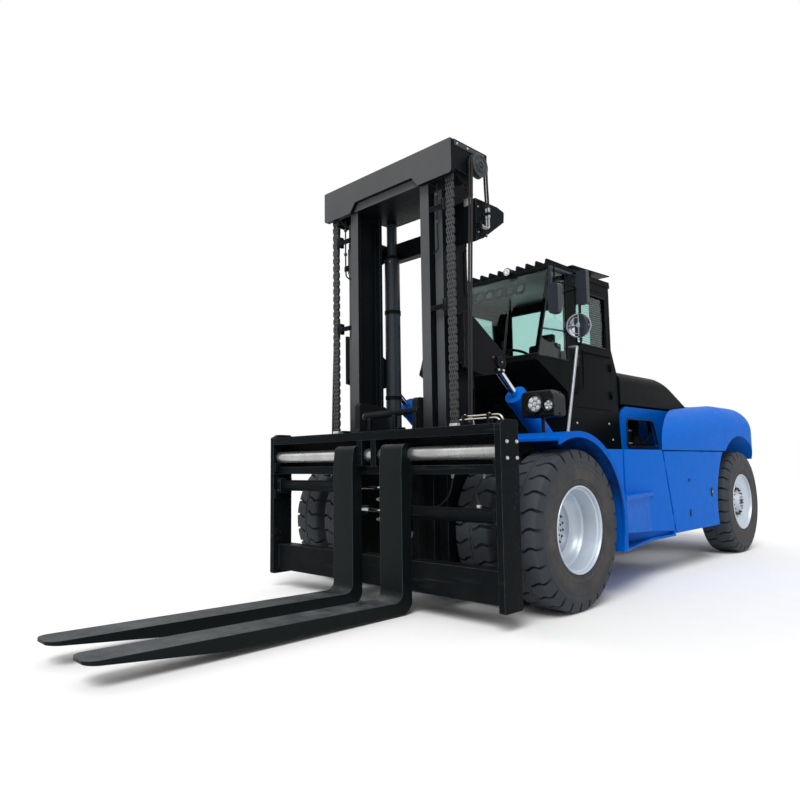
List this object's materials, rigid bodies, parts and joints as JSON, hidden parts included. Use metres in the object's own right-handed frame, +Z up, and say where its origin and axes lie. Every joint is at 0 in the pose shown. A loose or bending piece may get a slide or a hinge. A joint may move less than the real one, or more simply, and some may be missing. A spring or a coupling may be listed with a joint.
{
  "type": "diesel forklift truck",
  "caption": "Heavy diesel forklift truck with twin front wheels, tilting two-stage mast, shaft-hung forks, a glazed cab and a rear counterweight.",
  "frame": {"origin": "middle of the whole machine's outline, on the ground", "axes": "+Z up, the forks point to -Y, the truck's left side is +X"},
  "size_m": [3.4, 10.16, 4.4879],
  "materials": {
    "tyre_rubber": "dusty",
    "rim_silver": "satin",
    "machine_blue": "gloss",
    "mast_black": "satin",
    "fork_grey": "scratched",
    "bright_steel": "brushed",
    "rod_chrome": "polished",
    "chain_steel": "oiled",
    "cast_black": "rough",
    "cab_glass_green": "tinted",
    "seat_fabric": "woven",
    "trim_plastic": "matte"
  },
  "bodies": {
    "chassis": {"chassis_frame": "mast_black", "engine_block": "cast_black", "drive_axle": "cast_black", "steer_axle": "cast_black", "counterweight": "machine_blue", "rear_side_shells": "machine_blue", "front_fenders": "machine_blue", "side_tanks": "machine_blue", "cab_base": "mast_black", "cab_front_wall": "mast_black", "cab_sides": "mast_black", "cab_rear_wall": "mast_black", "cab_glass": "cab_glass_green", "cab_roof": "mast_black", "operator_seat": "seat_fabric", "steering_column": "trim_plastic", "headlamps": "trim_plastic", "mirror_brackets": "trim_plastic", "grab_rails": "bright_steel"},
    "front_wheels_left": {"front_tyres_left": "tyre_rubber", "front_rims_left": "rim_silver"},
    "front_wheels_right": {"front_tyres_right": "tyre_rubber", "front_rims_right": "rim_silver"},
    "steer_left": {"steer_knuckle_left": "cast_black"},
    "steer_right": {"steer_knuckle_right": "cast_black"},
    "rear_wheel_left": {"rear_tyre_left": "tyre_rubber", "rear_rim_left": "rim_silver"},
    "rear_wheel_right": {"rear_tyre_right": "tyre_rubber", "rear_rim_right": "rim_silver"},
    "mast": {"outer_mast_rails": "mast_black", "outer_mast_ties": "mast_black", "lift_barrels": "mast_black"},
    "inner_mast": {"inner_mast_rails": "mast_black", "mast_head_beam": "mast_black", "chain_sheaves": "chain_steel", "lift_chains": "chain_steel", "lift_rods": "rod_chrome"},
    "carriage": {"carriage_top_beam": "mast_black", "carriage_side_plates": "mast_black", "carriage_foot_beam": "mast_black", "fork_shaft": "bright_steel", "roller_brackets": "mast_black", "positioner_tubes": "mast_black"},
    "fork_left_set": {"fork_left": "fork_grey", "pusher_rod_left": "rod_chrome"},
    "fork_right_set": {"fork_right": "fork_grey", "pusher_rod_right": "rod_chrome"},
    "tilt_cylinders": {"tilt_barrels": "machine_blue"},
    "tilt_pistons": {"tilt_rods": "rod_chrome"},
    "hood": {"hood": "mast_black"},
    "side_door_left": {"rear_side_door_left": "machine_blue"},
    "side_door_right": {"rear_side_door_right": "machine_blue"},
    "cab_door_left": {"cab_door_left": "mast_black", "cab_door_glass_left": "cab_glass_green"},
    "cab_door_right": {"cab_door_right": "mast_black", "cab_door_glass_right": "cab_glass_green"}
  },
  "joints": [
    {"name": "front_wheels_left_spin", "type": "hinge", "parent": "chassis", "child": "front_wheels_left", "pos_m": [1.226, -1.12, 0.745], "axis": [1, 0, 0], "continuous": true},
    {"name": "steer_left", "type": "hinge", "parent": "chassis", "child": "steer_left", "pos_m": [0.97, 4.08, 0.745], "axis": [0, 0, 1], "range_deg": [-60, 60]},
    {"name": "rear_wheel_left_spin", "type": "hinge", "parent": "steer_left", "child": "rear_wheel_left", "pos_m": [1.245, 4.08, 0.745], "axis": [1, 0, 0], "continuous": true},
    {"name": "front_wheels_right_spin", "type": "hinge", "parent": "chassis", "child": "front_wheels_right", "pos_m": [-1.226, -1.12, 0.745], "axis": [1, 0, 0], "continuous": true},
    {"name": "steer_right", "type": "hinge", "parent": "chassis", "child": "steer_right", "pos_m": [-0.97, 4.08, 0.745], "axis": [0, 0, 1], "range_deg": [-60, 60]},
    {"name": "rear_wheel_right_spin", "type": "hinge", "parent": "steer_right", "child": "rear_wheel_right", "pos_m": [-1.245, 4.08, 0.745], "axis": [1, 0, 0], "continuous": true},
    {"name": "mast_tilt", "type": "hinge", "parent": "chassis", "child": "mast", "pos_m": [0, -1.12, 0.745], "axis": [-1, 0, 0], "range_deg": [-6, 12]},
    {"name": "tilt_cylinders_swing", "type": "hinge", "parent": "chassis", "child": "tilt_cylinders", "pos_m": [0, -0.02, 1.42], "axis": [-1, 0, 0], "range_deg": [-4.6, 9.1]},
    {"name": "tilt_pistons_stroke", "type": "slide", "parent": "tilt_cylinders", "child": "tilt_pistons", "axis": [0, -0.7725, 0.635], "range_m": [-0.262, 0.131]},
    {"name": "inner_mast_lift", "type": "slide", "parent": "mast", "child": "inner_mast", "axis": [0, 0, 1], "range_m": [0, 2]},
    {"name": "carriage_lift", "type": "slide", "parent": "inner_mast", "child": "carriage", "axis": [0, 0, 1], "range_m": [0, 2], "deforming": ["lift_chains"]},
    {"name": "fork_left_slide", "type": "slide", "parent": "carriage", "child": "fork_left_set", "axis": [1, 0, 0], "range_m": [-0.1, 0.95]},
    {"name": "fork_right_slide", "type": "slide", "parent": "carriage", "child": "fork_right_set", "axis": [1, 0, 0], "range_m": [-0.95, 0]},
    {"name": "hood_hinge", "type": "hinge", "parent": "chassis", "child": "hood", "pos_m": [0, 3.798, 2.124], "axis": [-1, 0, 0], "range_deg": [0, 45]},
    {"name": "side_door_left_hinge", "type": "hinge", "parent": "chassis", "child": "side_door_left", "pos_m": [1.44, 1.292, 1.5], "axis": [0, 0.2696, -0.963], "range_deg": [0, 85]},
    {"name": "cab_door_left_hinge", "type": "hinge", "parent": "chassis", "child": "cab_door_left", "pos_m": [0.895, 1.162, 2.75], "axis": [0, 0, 1], "range_deg": [0, 80]},
    {"name": "side_door_right_hinge", "type": "hinge", "parent": "chassis", "child": "side_door_right", "pos_m": [-1.44, 1.292, 1.5], "axis": [0, -0.2696, 0.963], "range_deg": [0, 85]},
    {"name": "cab_door_right_hinge", "type": "hinge", "parent": "chassis", "child": "cab_door_right", "pos_m": [-0.895, 1.162, 2.75], "axis": [0, 0, -1], "range_deg": [0, 80]}
  ],
  "couplings": [
    {"joint": "steer_right", "follows": "steer_left", "ratio": 1},
    {"joint": "tilt_cylinders_swing", "follows": "mast_tilt", "ratio": 0.749},
    {"joint": "tilt_pistons_stroke", "follows": "mast_tilt", "m_per_rad": -1.235},
    {"joint": "carriage_lift", "follows": "inner_mast_lift", "ratio": 1}
  ]
}
